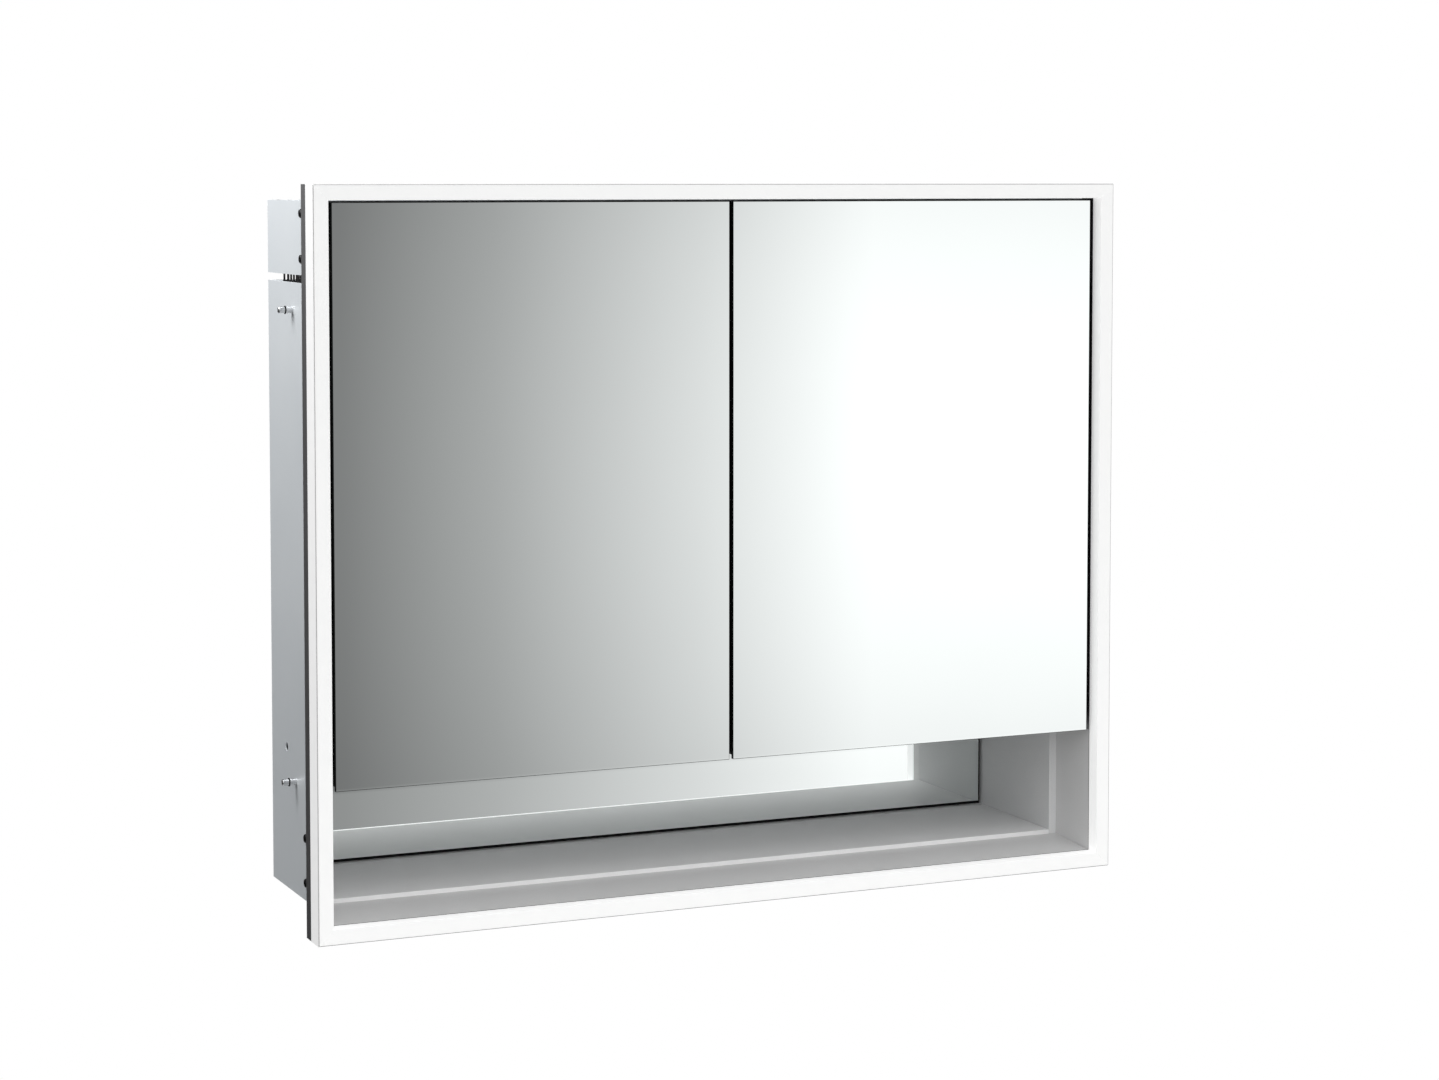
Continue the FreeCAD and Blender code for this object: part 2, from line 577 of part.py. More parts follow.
# Buffers and magnets that the closed doors meet, on the fascia and on the middle floor.
CATCH_Z = f"({FASCIA_HIGH} - catch_drop)"
SOFT_Y = f"{DOOR_BACK} + buffer_gap"
PULL_Y = f"{DOOR_BACK} + magnet_gap"
buffers, magnets = [], []
for side in ("left", "right"):
    x = at_side(side, "buffer_x")
    for z, face in (("deck_low + deck / 2", "deck_front"), (CATCH_Z, FASCIA_Y)):
        buffers.append(rod((x, SOFT_Y, z), "buffer_radius", f"{face} - ({SOFT_Y})", "+Y"))
    magnets.append(rod((at_side(side, "magnet_x"), PULL_Y, CATCH_Z), "magnet_radius",
                       f"{FASCIA_Y} - ({PULL_Y})", "+Y"))
keep(group(buffers), "door_buffers")
keep(group(magnets), "door_magnets")

# ---------------------------------------------------------------- doors
RIM_IN = "(door_gap / 2 + door_edge)"
RIM_OUT = "(width / 2 - door_inset - door_edge)"
for side in ("left", "right"):
    glass = mirrored(side, "door_gap / 2", "width / 2 - door_inset")
    keep(block(glass, (DOOR_Y, RIM_Y), ("door_low", "door_high")), f"{side}_door_mirror")
    body = new_body(f"{side}_door_rim")
    rim = sketch_on(body, "XZ_Plane", f"-{RIM_BACK}")
    low, high = mirrored(side, RIM_IN, RIM_OUT)
    outline(rim, rectangle(low, high, RIM_LOW, RIM_HIGH))
    outline(rim, rectangle(f"{low} + rim_face", f"{high} - rim_face",
                           f"{RIM_LOW} + rim_face", f"{RIM_HIGH} - rim_face"))
    pad(body, rim, "door_rim")
    bores = sketch_on(body, "XY_Plane")
    circle(bores, at_side(side, PIVOT_X), PIVOT_Y, "bush_radius")
    pocket_through(body, bores)
    keep(body, f"{side}_door_rim")
    inside = (f"{low} + rim_face", f"{high} - rim_face")
    keep(block(inside, (RIM_Y, RIM_BACK), (f"{RIM_LOW} + rim_face", f"{RIM_HIGH} - rim_face")),
         f"{side}_door_core")
    back = (f"{low} + rear_inset", f"{high} - rear_inset")
    pane = block(back, (RIM_BACK, DOOR_BACK), (f"{RIM_LOW} + rear_inset", f"{RIM_HIGH} - rear_inset"))
    keep(pane, f"{side}_door_rear_mirror")
    x = at_side(side, PIVOT_X)
    bushes = []
    for low_z in (RIM_LOW, f"({RIM_HIGH} - bush_length)"):
        bushes.append(cut(rod((x, PIVOT_Y, low_z), "bush_radius", "bush_length"),
                          [rod((x, PIVOT_Y, f"{low_z} - 1"), "pivot_radius + running",
                               "bush_length + 2")]))
    keep(group(bushes), f"{side}_door_bushes")
    strike = rod((at_side(side, "magnet_x"), DOOR_BACK, CATCH_Z), "strike_radius", "strike", "+Y")
    keep(strike, f"{side}_door_strike")

# ---------------------------------------------------------------- checks and files
doc.recompute()
for obj in doc.Objects:
    if {"Invalid", "Error"} & set(obj.State):
        raise SystemExit(f"{obj.Name} ({obj.Label}) failed: {obj.State}")
for label, obj in nodes.items():
    shape = obj.Shape
    if shape.isNull() or not shape.isValid() or not shape.Solids or shape.Volume <= 0:
        raise SystemExit(f"{label} has no valid solid")
for label, obj in nodes.items():
    obj.Shape.exportStep(f"parts/{label}.step")
box = Part.makeCompound([obj.Shape for obj in nodes.values()]).BoundBox
print(f"{len(nodes)} nodes, {box.XLength:.1f} x {box.YLength:.1f} x {box.ZLength:.1f} mm")
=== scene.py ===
import math

import bmesh
import bpy
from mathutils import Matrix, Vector


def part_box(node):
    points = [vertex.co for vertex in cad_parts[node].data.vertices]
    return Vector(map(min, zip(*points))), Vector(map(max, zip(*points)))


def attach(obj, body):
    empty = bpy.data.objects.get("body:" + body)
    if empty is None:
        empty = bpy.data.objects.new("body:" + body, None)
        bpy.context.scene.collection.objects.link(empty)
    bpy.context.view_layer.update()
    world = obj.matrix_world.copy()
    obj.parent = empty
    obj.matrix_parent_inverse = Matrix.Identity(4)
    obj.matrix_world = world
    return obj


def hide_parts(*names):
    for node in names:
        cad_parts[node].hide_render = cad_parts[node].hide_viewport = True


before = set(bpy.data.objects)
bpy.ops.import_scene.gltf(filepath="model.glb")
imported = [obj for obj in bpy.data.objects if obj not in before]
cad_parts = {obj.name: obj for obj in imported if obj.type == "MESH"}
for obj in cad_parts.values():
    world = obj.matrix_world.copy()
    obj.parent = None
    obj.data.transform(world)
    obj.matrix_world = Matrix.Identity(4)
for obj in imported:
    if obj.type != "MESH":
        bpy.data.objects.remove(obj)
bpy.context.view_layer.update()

# ---------------------------------------------------------------- studio
# The cabinet hangs 1.2 m over a pale floor, as it would on a wall, in a white studio. In front
# of it stand a pale panel on the left, a dark curtain and a bright panel on the right, which
# the doors mirror. A large soft lamp lights its front and a small one its left side.
scene = bpy.context.scene
scene.view_settings.view_transform = "Standard"

camera = bpy.data.cameras.new("camera")
camera.lens = 77.24
camera.shift_y = -0.12
scene.camera = bpy.data.objects.new("camera", camera)
scene.camera.location = (-1.1629, -2.6292, 0.6744)
scene.camera.rotation_euler = (math.radians(86.51), 0, math.radians(-23.855))
scene.collection.objects.link(scene.camera)


def linear(colour):
    """An sRGB hex colour as the linear values that a shader takes."""
    parts = [int(colour[at:at + 2], 16) / 255 for at in (0, 2, 4)]
    return [p / 12.92 if p <= 0.04045 else ((p + 0.055) / 1.055) ** 2.4 for p in parts] + [1]


def put(tree, kind, inputs=None, **settings):
    """Adds one node with its settings; each input is a value or the socket that feeds it."""
    made = tree.nodes.new("ShaderNode" + kind)
    for name, value in settings.items():
        setattr(made, name, value)
    for name, value in (inputs or {}).items():
        if isinstance(value, bpy.types.NodeSocket):
            tree.links.new(value, made.inputs[name])
        else:
            made.inputs[name].default_value = value
    return made


scene.world = bpy.data.worlds.new("studio")
scene.world.use_nodes = True
tree = scene.world.node_tree
tree.nodes.clear()
skyward = put(tree, "TexCoord").outputs["Generated"]
way = put(tree, "SeparateXYZ", {"Vector": skyward}).outputs
ahead = put(tree, "Math", {0: way["Y"], 1: -1.0}, operation="MULTIPLY").outputs[0]
azimuth = put(tree, "Math", {0: way["X"], 1: ahead}, operation="ARCTAN2").outputs[0]
height = put(tree, "Math", {0: way["Z"]}, operation="ARCSINE").outputs[0]
# Brightness by the bearing in degrees, from the viewer's left round to the right.
BEARINGS = [(-90, 0.32), (-5, 0.86), (9, 0.16), (16.7, 0.22), (19.8, 0.43), (23.6, 0.78), (26.6, 1.12)]
LEFTMOST, RIGHTMOST = -90, 30
span = put(tree, "MapRange", {
    "Value": azimuth, "From Min": math.radians(LEFTMOST), "From Max": math.radians(RIGHTMOST)}).outputs[0]
fade = put(tree, "ValToRGB", {"Fac": span})
steps = fade.color_ramp.elements
for _ in BEARINGS[2:]:
    steps.new(0.5)
for step, (bearing, light) in zip(steps, BEARINGS):
    step.position = (bearing - LEFTMOST) / (RIGHTMOST - LEFTMOST)
    step.color = (light, light, light, 1)

# The panels are brightest 5 degrees below the horizon and dim a little away from there.
off = put(tree, "MapRange", {
    "Value": height, "From Min": math.radians(-5), "From Max": math.radians(1)}, clamp=False).outputs[0]
square = put(tree, "Math", {0: off, 1: off}, operation="MULTIPLY", use_clamp=True).outputs[0]
front = put(tree, "MapRange", {"Value": square, "To Min": 1.0, "To Max": 0.82}).outputs[0]
front = put(tree, "Math", {0: front, 1: fade.outputs[0]}, operation="MULTIPLY").outputs[0]
# A pale ledge low in front of the cabinet: only the set-back niche mirror looks down on it.
slope = put(tree, "Math", {0: way["Z"], 1: ahead}, operation="DIVIDE").outputs[0]
ledge = put(tree, "MapRange", {"Value": slope, "From Min": -0.2085, "From Max": -0.2065,
                               "To Min": 0.11, "To Max": 0.0}).outputs[0]
front = put(tree, "Math", {0: front, 1: ledge}, operation="ADD").outputs[0]
# Below the panels the studio is dark, above them its ceiling is evenly bright.
dark_foot = put(tree, "MapRange", {
    "Value": height, "From Min": math.radians(-18), "From Max": math.radians(-14), "To Min": 0.08},
    interpolation_type="SMOOTHSTEP").outputs[0]
front = put(tree, "Math", {0: front, 1: dark_foot}, operation="MULTIPLY").outputs[0]
ceiling = put(tree, "MapRange", {
    "Value": height, "From Min": math.radians(4), "From Max": math.radians(16)},
    interpolation_type="SMOOTHSTEP").outputs[0]
front = put(tree, "Mix", {0: ceiling, 2: front, 3: 1.1}, data_type="FLOAT").outputs[0]
# Behind the cabinet's left side there is only a faint haze.
haze = put(tree, "MapRange", {
    "Value": height, "From Min": math.radians(-20), "From Max": math.radians(8),
    "To Min": 0.02, "To Max": 0.12}).outputs[0]
behind = put(tree, "MapRange", {
    "Value": azimuth, "From Min": math.radians(-95), "From Max": math.radians(-125)}).outputs[0]
around = put(tree, "Mix", {0: behind, 6: front, 7: haze}, data_type="RGBA").outputs[2]
lit = put(tree, "Background", {"Color": around, "Strength": 1.0})
seen = put(tree, "Background", {"Color": (1, 1, 1, 1), "Strength": 1.0})
ray = put(tree, "LightPath").outputs["Is Camera Ray"]
both = put(tree, "MixShader", {0: ray, 1: lit.outputs[0], 2: seen.outputs[0]})
put(tree, "OutputWorld", {"Surface": both.outputs[0]})


def softbox(name, place, target, size, power):
    """A square soft light that points at a target."""
    lamp = bpy.data.lights.new(name, "AREA")
    lamp.size = size
    lamp.energy = power
    made = bpy.data.objects.new(name, lamp)
    made.location = place
    made.rotation_euler = (Vector(target) - Vector(place)).to_track_quat("-Z", "Y").to_euler()
    scene.collection.objects.link(made)


softbox("key_softbox", (0.9, -2.6, 2.6), (0, 0, 0.2), 1.6, 6)
softbox("side_softbox", (-0.9, 0.2, 1.03), (-0.4, 0.08, 0.55), 0.5, 8.2)


def new_finish(name):
    """A material under its real name, its node tree, and there the place on the piece."""
    made = bpy.data.materials.new(name)
    made.use_nodes = True
    tree = made.node_tree
    tree.nodes.clear()
    return made, tree, put(tree, "TexCoord").outputs["Object"]


# Painted floor: matt white emulsion, faintly uneven.
FLOOR_RADIUS, FLOOR_HEIGHT = 1.6, -1.2
floor_paint, tree, where = new_finish("matt_floor_paint")
patches = put(tree, "TexNoise", {"Vector": where, "Scale": 2.0, "Detail": 3.0}).outputs[0]
shade = put(tree, "Mix", {
    0: patches, 6: linear("F4F4F3"), 7: linear("FAFAFA")}, data_type="RGBA").outputs[2]
paint = put(tree, "BsdfPrincipled", {
    "Base Color": shade, "Roughness": 0.7, "Emission Color": shade, "Emission Strength": 0.05})
put(tree, "OutputMaterial", {"Surface": paint.outputs[0]})

ground = bmesh.new()
bmesh.ops.create_circle(ground, cap_ends=True, segments=96, radius=FLOOR_RADIUS)
bmesh.ops.translate(ground, vec=(0, 0, FLOOR_HEIGHT), verts=ground.verts)
ground_mesh = bpy.data.meshes.new("floor")
ground.to_mesh(ground_mesh)
ground.free()
ground_mesh.materials.append(floor_paint)
floor = bpy.data.objects.new("floor", ground_mesh)
scene.collection.objects.link(floor)

# ---------------------------------------------------------------- light frame: diffusers
# Four extruded bars of opal acrylic, mitred at the corners and clipped over the LED strips.
# They carry the light evenly, with only a trace of the single diodes; their rounded front edges are
# drawn grey and without glow, a painted shade line along the frame's outer front edge.
MM = 0.001
# Edges that bend by more than this are real edges; the others are facets of a curve.
SHARP = math.radians(30)
# A curve's facets are smaller than the first area, and slivers than the second, in square metres.
FACET_AREA, SLIVER_AREA = 3e-4, 4e-6
# The diodes' spacing along the strips, in metres.
LED_PITCH = 0.0167


def merged(node):
    """A copy of a CAD piece as a bmesh, its triangles merged into flat faces."""
    mesh = bmesh.new()
    mesh.from_mesh(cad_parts[node].data)
    bmesh.ops.remove_doubles(mesh, verts=mesh.verts, dist=0.001 * MM)
    bmesh.ops.dissolve_limit(mesh, angle_limit=math.radians(0.5), verts=mesh.verts, edges=mesh.edges)
    return mesh


def soften(mesh, width, segments=2, pick=None):
    """Rounds a bmesh's sharp edges by a width in mm: all of them, or those that pick takes."""
    places = [vert.co.copy() for vert in mesh.verts]
    low, high = Vector(map(min, *places)), Vector(map(max, *places))
    edges = [edge for edge in mesh.edges if len(edge.link_faces) == 2
             and edge.calc_face_angle() > SHARP and (pick is None or pick(edge))]
    bmesh.ops.bevel(mesh, geom=edges, offset=width * MM, offset_type="OFFSET", segments=segments,
                    profile=0.5, affect="EDGES", clamp_overlap=True, material=-1)
    for vert in mesh.verts:
        vert.co = [min(max(value, least), most) for value, least, most in zip(vert.co, low, high)]
    return mesh


def paint_faces(mesh, index, pick):
    """Gives the faces that pick takes the finish with that index."""
    for face in mesh.faces:
        if pick(face):
            face.material_index = index
    return mesh


def piece(name, meshes, finishes, body, nodes=(), smooth=False):
    """Makes bmeshes one object that rides on a body and stands for those CAD nodes."""
    data = bpy.data.meshes.new(name)
    whole = bmesh.new()
    for mesh in meshes:
        mesh.to_mesh(data)
        whole.from_mesh(data)
        mesh.free()
    for face in whole.faces:
        # Only the facets of a curved wall are shaded as one surface; flat faces stay flat.
        bends = [edge.calc_face_angle(0) for edge in face.edges if len(edge.link_faces) == 2]
        curved = sum(math.radians(1) < bend < math.radians(20) for bend in bends) > 1
        face.smooth = smooth or (curved and len(face.verts) == 4 and face.calc_area() < FACET_AREA)
    for edge in whole.edges:
        edge.smooth = len(edge.link_faces) == 2 and edge.calc_face_angle() < SHARP
    whole.to_mesh(data)
    whole.free()
    for finish in finishes:
        data.materials.append(finish)
    made = bpy.data.objects.new(name, data)
    scene.collection.objects.link(made)
    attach(made, body)
    if nodes:
        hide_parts(*nodes)
    return made


def opal(name, glow, gloss, colours=("F3F4F4", "FBFBFA")):
    """Extruded opal acrylic: milky white and satin, lit from inside by that much."""
    made, tree, where = new_finish(name)
    axes = put(tree, "SeparateXYZ", {"Vector": where}).outputs
    along = put(tree, "Math", {0: axes["X"], 1: axes["Z"]}, operation="ADD").outputs[0]
    turn = put(tree, "Math", {0: along, 1: math.tau / LED_PITCH}, operation="MULTIPLY").outputs[0]
    wave = put(tree, "Math", {0: turn}, operation="COSINE").outputs[0]
    # Between two diodes the light is weaker by 1.5 percent.
    light = put(tree, "MapRange", {
        "Value": wave, "From Min": -1.0, "To Min": glow * 0.985, "To Max": glow}).outputs[0]
    milk = put(tree, "TexNoise", {"Vector": where, "Scale": 90.0, "Detail": 3.0}).outputs[0]
    colour = put(tree, "Mix", {
        0: milk, 6: linear(colours[0]), 7: linear(colours[1])}, data_type="RGBA").outputs[2]
    # Extrusion leaves a skin that is uneven at about half a millimetre.
    skin = put(tree, "TexNoise", {"Vector": where, "Scale": 1800.0, "Detail": 2.0}).outputs[0]
    relief = put(tree, "Bump", {"Height": skin, "Strength": 0.012, "Distance": 0.0001}).outputs[0]
    acrylic = put(tree, "BsdfPrincipled", {
        "Base Color": colour, "Roughness": gloss, "IOR": 1.49, "Normal": relief,
        "Emission Color": linear("FFFFFF"), "Emission Strength": light})
    put(tree, "OutputMaterial", {"Surface": acrylic.outputs[0]})
    return made


# The bars glow from the LEDs; the outer and inner flanks get their own glow and tone: painted light.
opal_acrylic = opal("opal_acrylic", 0.23, 0.4)
acrylic_corner_painted_shade = opal("acrylic_edge_painted_shade", 0.0, 0.25, ("B6B6B6", "BEBEBE"))
painted_light_skirt = opal("opal_skirt_painted_light", 0.5, 0.4, ("9E9E9E", "A6A6A6"))
painted_light_inside = opal("opal_inside_painted_light", 0.36, 0.4)
SIDES = {"top": Vector((0, 0, 1)), "bottom": Vector((0, 0, -1)),
         "left": Vector((-1, 0, 0)), "right": Vector((1, 0, 0))}
for side, outward in SIDES.items():
    bar = merged(f"light_diffuser_{side}")

    def front_edge(edge):
        ways = [face.normal for face in edge.link_faces]
        return any(w.y < -0.9 for w in ways) and any(w.dot(outward) > 0.9 for w in ways)

    soften(bar, 0.9, 3, front_edge)
    # The rounded front edge: grey and without glow, a painted shade line.
    paint_faces(bar, 1, lambda face: face.normal.y < -0.2 and face.normal.dot(outward) > 0.2)
    soften(bar, 0.15, 1, lambda edge: min(face.calc_area() for face in edge.link_faces) > SLIVER_AREA)
    # The flanks: glow and tone set per face, painted light on top of the LED glow.
    paint_faces(bar, 2, lambda face: face.normal.dot(outward) > 0.95)
    paint_faces(bar, 3, lambda face: face.normal.dot(outward) < -0.95)
    piece(f"opal_bar_{side}", [bar], [opal_acrylic, acrylic_corner_painted_shade, painted_light_skirt, painted_light_inside],
          "cabinet", [f"light_diffuser_{side}"])

# ---------------------------------------------------------------- light frame: profiles
# Four extruded aluminium bars behind the diffusers, satin anodised. The die leaves fine lines
# along each bar, so the level and the upright bars have the same finish turned by 90 degrees.


def anodised(name, colours, gloss, level):
    """Satin anodised aluminium: a soft metal sheen with die lines along or up the bar."""
    made, tree, where = new_finish(name)
    # Lines about 0.3 mm apart and 100 mm long.
    scale = (10, 3000, 3000) if level else (3000, 3000, 10)
    lines_at = put(tree, "Mapping", {"Vector": where, "Scale": scale}).outputs[0]
    lines = put(tree, "TexNoise", {"Vector": lines_at, "Scale": 1.0, "Detail": 2.0}).outputs[0]
    clouds = put(tree, "TexNoise", {"Vector": where, "Scale": 12.0, "Detail": 2.0}).outputs[0]
    tone = put(tree, "Mix", {
        0: clouds, 6: linear(colours[0]), 7: linear(colours[1])}, data_type="RGBA").outputs[2]
    rough = put(tree, "MapRange", {
        "Value": lines, "To Min": gloss - 0.06, "To Max": gloss + 0.06}).outputs[0]
    relief = put(tree, "Bump", {"Height": lines, "Strength": 0.12, "Distance": 0.0001}).outputs[0]
    metal = put(tree, "BsdfPrincipled", {
        "Base Color": tone, "Metallic": 1.0, "Roughness": rough, "Normal": relief})
    put(tree, "OutputMaterial", {"Surface": metal.outputs[0]})
    return made


FRAME_TONES = ("8A8A8B", "929294")
anodised_level = anodised("anodised_aluminium_level", FRAME_TONES, 0.46, True)
anodised_upright = anodised("anodised_aluminium_upright", FRAME_TONES, 0.46, False)
for side in SIDES:
    finish = anodised_level if side in ("top", "bottom") else anodised_upright
    piece(f"frame_bar_{side}", [soften(merged(f"frame_profile_{side}"), 0.3)], [finish], "cabinet",
          [f"frame_profile_{side}"])

# ---------------------------------------------------------------- light frame: LED strips
# White flexible circuit tape glued to the profiles' webs, with a yellow phosphor chip every
# 16.7 mm. It sits under the diffusers.


def solids(node):
    """The lowest and highest corner of each separate solid in a CAD piece."""
    mesh = merged(node)
    found, known = [], set()
    for first in mesh.verts:
        if first in known:
            continue
        known.add(first)
        island, todo = [], [first]
        while todo:
            vert = todo.pop()
            island.append(vert.co.copy())
            for edge in vert.link_edges:
                other = edge.other_vert(vert)
                if other not in known:
                    known.add(other)
                    todo.append(other)
        found.append((Vector(map(min, *island)), Vector(map(max, *island))))
    mesh.free()
    return sorted(found, key=lambda corners: [round(value, 5) for value in corners[0]])


def slab(low, high, edge=0.3, segments=2):
    """A block between two corners, its edges rounded by that many mm."""
    low, high = Vector(low), Vector(high)
    mesh = bmesh.new()
    bmesh.ops.create_cube(mesh, size=1)
    bmesh.ops.scale(mesh, vec=high - low, verts=mesh.verts)
    bmesh.ops.translate(mesh, vec=(low + high) / 2, verts=mesh.verts)
    return soften(mesh, edge, segments) if edge else mesh


def plastic(name, colours, gloss, grain, relief=0.1, ior=1.5, extra=None):
    """A moulded or painted finish: two close tones in clouds, and a fine grain in mm."""
    made, tree, where = new_finish(name)
    clouds = put(tree, "TexNoise", {"Vector": where, "Scale": 25.0, "Detail": 3.0}).outputs[0]
    tone = put(tree, "Mix", {
        0: clouds, 6: linear(colours[0]), 7: linear(colours[1])}, data_type="RGBA").outputs[2]
    pores = put(tree, "TexNoise", {"Vector": where, "Scale": 1000 / grain, "Detail": 2.0}).outputs[0]
    rough = put(tree, "MapRange", {
        "Value": pores, "To Min": gloss - 0.05, "To Max": gloss + 0.05}).outputs[0]
    bump = put(tree, "Bump", {"Height": pores, "Strength": relief, "Distance": 0.0002}).outputs[0]
    shader = put(tree, "BsdfPrincipled", {
        "Base Color": tone, "Roughness": rough, "IOR": ior, "Normal": bump, **(extra or {})})
    put(tree, "OutputMaterial", {"Surface": shader.outputs[0]})
    return made


# Solder-masked polyimide tape: white and slightly glossy.
tape_white = plastic("white_circuit_tape", ("EDEDE8", "F6F6F2"), 0.35, 0.6)
# Phosphor under silicone: warm yellow, satin.
phosphor = plastic("phosphor_chip", ("E8C84A", "F2D968"), 0.3, 0.3)
tapes, chips = [], []
for low, high in solids("led_strips"):
    axis = 0 if high.x - low.x > high.z - low.z else 2
    tape_top = high.y - 0.3 * MM
    tapes.append(slab((low.x, tape_top, low.z), high, 0.05, 1))
    for index in range(int((high[axis] - low[axis]) / LED_PITCH)):
        middle = (low + high) / 2
        middle[axis] = low[axis] + (index + 0.5) * LED_PITCH
        half = Vector((1.4 * MM, 0, 1.4 * MM))
        half[axis] = 1.75 * MM
        chips.append(slab(Vector((middle.x, low.y, middle.z)) - half,
                          Vector((middle.x, tape_top, middle.z)) + half, 0))
piece("led_tape", tapes, [tape_white], "cabinet", ["led_strips"])
piece("led_chips", chips, [phosphor], "cabinet")

# ---------------------------------------------------------------- light frame: corner keys
# Zinc-plated steel angles pushed into the profiles' chambers. They pull the mitres together and
# keep the four bars in one plane.


def plated(name, colours, gloss, metallic=1.0):
    """Zinc or nickel plate: bright metal with faint clouds in tone and gloss."""
    made, tree, where = new_finish(name)
    # Clouds of about 8 mm, and plating crystals drawn at 0.5 mm so that they show.
    clouds = put(tree, "TexNoise", {"Vector": where, "Scale": 125.0, "Detail": 3.0}).outputs[0]
    crystals = put(tree, "TexVoronoi", {"Vector": where, "Scale": 2000.0}).outputs["Distance"]
    tone = put(tree, "Mix", {
        0: clouds, 6: linear(colours[0]), 7: linear(colours[1])}, data_type="RGBA").outputs[2]
    rough = put(tree, "MapRange", {
        "Value": clouds, "To Min": gloss - 0.06, "To Max": gloss + 0.06}).outputs[0]
    bump = put(tree, "Bump", {"Height": crystals, "Strength": 0.05, "Distance": 0.0001}).outputs[0]
    metal = put(tree, "BsdfPrincipled", {
        "Base Color": tone, "Metallic": metallic, "Roughness": rough, "Normal": bump})
    put(tree, "OutputMaterial", {"Surface": metal.outputs[0]})
    return made


zinc_plate = plated("bright_zinc_plate", ("C9CBCF", "D8D6CF"), 0.22)
piece("corner_angles", [soften(merged("corner_keys"), 0.5)], [zinc_plate], "cabinet",
      ["corner_keys"])

# ---------------------------------------------------------------- carcass: sheets
# The sides, bottom, back and top are 1.5 mm steel sheet, zinc coated and passivated, with
# punched holes. The bottom and the top have a shallow pressed field that stiffens them. The
# niche's box stands out through the back.


def zinc_sheet():
    """Passivated zinc coat: an even matt grey, half metal, with faint roller marks."""
    made, tree, where = new_finish("zinc_coated_sheet")
    # Roller marks 1.5 mm apart, drawn out over 150 mm.
    rolled = put(tree, "Mapping", {"Vector": where, "Scale": (650, 650, 7)}).outputs[0]
    marks = put(tree, "TexNoise", {"Vector": rolled, "Scale": 1.0, "Detail": 2.0}).outputs[0]
    clouds = put(tree, "TexNoise", {"Vector": where, "Scale": 9.0, "Detail": 4.0}).outputs[0]
    tone = put(tree, "Mix", {
        0: clouds, 6: linear("CBD0D4"), 7: linear("D3D7DA")}, data_type="RGBA").outputs[2]
    rough = put(tree, "MapRange", {"Value": clouds, "To Min": 0.44, "To Max": 0.5}).outputs[0]
    bump = put(tree, "Bump", {"Height": marks, "Strength": 0.04, "Distance": 0.0002}).outputs[0]
    metal = put(tree, "BsdfPrincipled", {
        "Base Color": tone, "Metallic": 0.35, "Roughness": rough, "Normal": bump})
    put(tree, "OutputMaterial", {"Surface": metal.outputs[0]})
    return made


def pressed(node, way, margin=25, depth=0.5):
    """A sheet whose outer face, the one towards way, has a field pressed in by that depth."""
    mesh = slab(*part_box(node), 0.3)
    mesh.normal_update()
    face = max(mesh.faces, key=lambda f: f.normal.dot(way) * f.calc_area())
    bmesh.ops.inset_region(mesh, faces=[face], thickness=margin * MM)
    bmesh.ops.inset_region(mesh, faces=[face], thickness=2 * MM)
    bmesh.ops.translate(mesh, vec=-way * depth * MM, verts=face.verts)
    return mesh


zinc_coat = zinc_sheet()
for side in ("left", "right"):
    piece(f"side_sheet_{side}", [soften(merged(f"side_panel_{side}"), 0.25)], [zinc_coat], "cabinet",
          [f"side_panel_{side}"])
piece("back_sheet", [soften(merged("back_panel"), 0.25)], [zinc_coat], "cabinet",
      ["back_panel"])
# The box's inner faces that face the front, behind the mirror, are drawn near-black: painted shade
# for the dark band and gap round the niche mirror.
painted_shade_black = plastic("box_inside_painted_shade", ("0C0C0D", "151516"), 0.8, 1.0, 0.3,
                      extra={"Specular IOR Level": 0.2})
box = paint_faces(soften(merged("niche_box"), 0.25), 1, lambda face: face.normal.y < -0.9)
piece("niche_box_sheet", [box], [zinc_coat, painted_shade_black], "cabinet", ["niche_box"])
piece("bottom_sheet", [pressed("bottom_panel", Vector((0, 0, -1)))], [zinc_coat], "cabinet",
      ["bottom_panel"])
piece("top_sheet", [pressed("carcass_top", Vector((0, 0, 1)))], [zinc_coat], "cabinet",
      ["carcass_top"])

# ---------------------------------------------------------------- carcass: service housing
# A box of the same sheet over the cabinet, open to the front, joined with blind rivets along
# its top edges. Its top has the hole for the cable gland.


def turned(profile, start, way, steps=32, closed=False):
    """A round piece: its profile, in mm as (radius, distance along), spun about an axis."""
    mesh = bmesh.new()
    points = [mesh.verts.new((radius * MM, 0, along * MM)) for radius, along in profile]
    ends = points[1:] + points[:1] if closed else points[1:]
    edges = [mesh.edges.new(pair) for pair in zip(points, ends)]
    bmesh.ops.spin(mesh, geom=points + edges, cent=(0, 0, 0), axis=(0, 0, 1), dvec=(0, 0, 0),
                   angle=math.tau, steps=steps, use_merge=True)
    bmesh.ops.remove_doubles(mesh, verts=mesh.verts, dist=0.001 * MM)
    bmesh.ops.recalc_face_normals(mesh, faces=mesh.faces)
    turn = Vector((0, 0, 1)).rotation_difference(Vector(way)).to_matrix()
    bmesh.ops.rotate(mesh, cent=(0, 0, 0), matrix=turn, verts=mesh.verts)
    bmesh.ops.translate(mesh, vec=start, verts=mesh.verts)
    return mesh


low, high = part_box("service_housing")
piece("service_box", [soften(merged("service_housing"), 0.25)], [zinc_coat], "cabinet",
      ["service_housing"])
RIVET = [(0, 0.05), (0.5, 0.05), (0.6, 0.15), (2.2, 0.15), (2.4, 0), (0, 0)]
rivets = []
for x in (low.x + 6 * MM, high.x - 6 * MM):
    for y in (0.02, 0.055, 0.09, 0.125):
        rivets.append(turned(RIVET, (x, y, high.z), (0, 0, 1), 16))
for x in (-0.3, -0.1, 0.1, 0.3):
    rivets.append(turned(RIVET, (x, high.y - 6 * MM, high.z), (0, 0, 1), 16))
piece("blind_rivets", rivets, [zinc_plate], "cabinet", smooth=True)

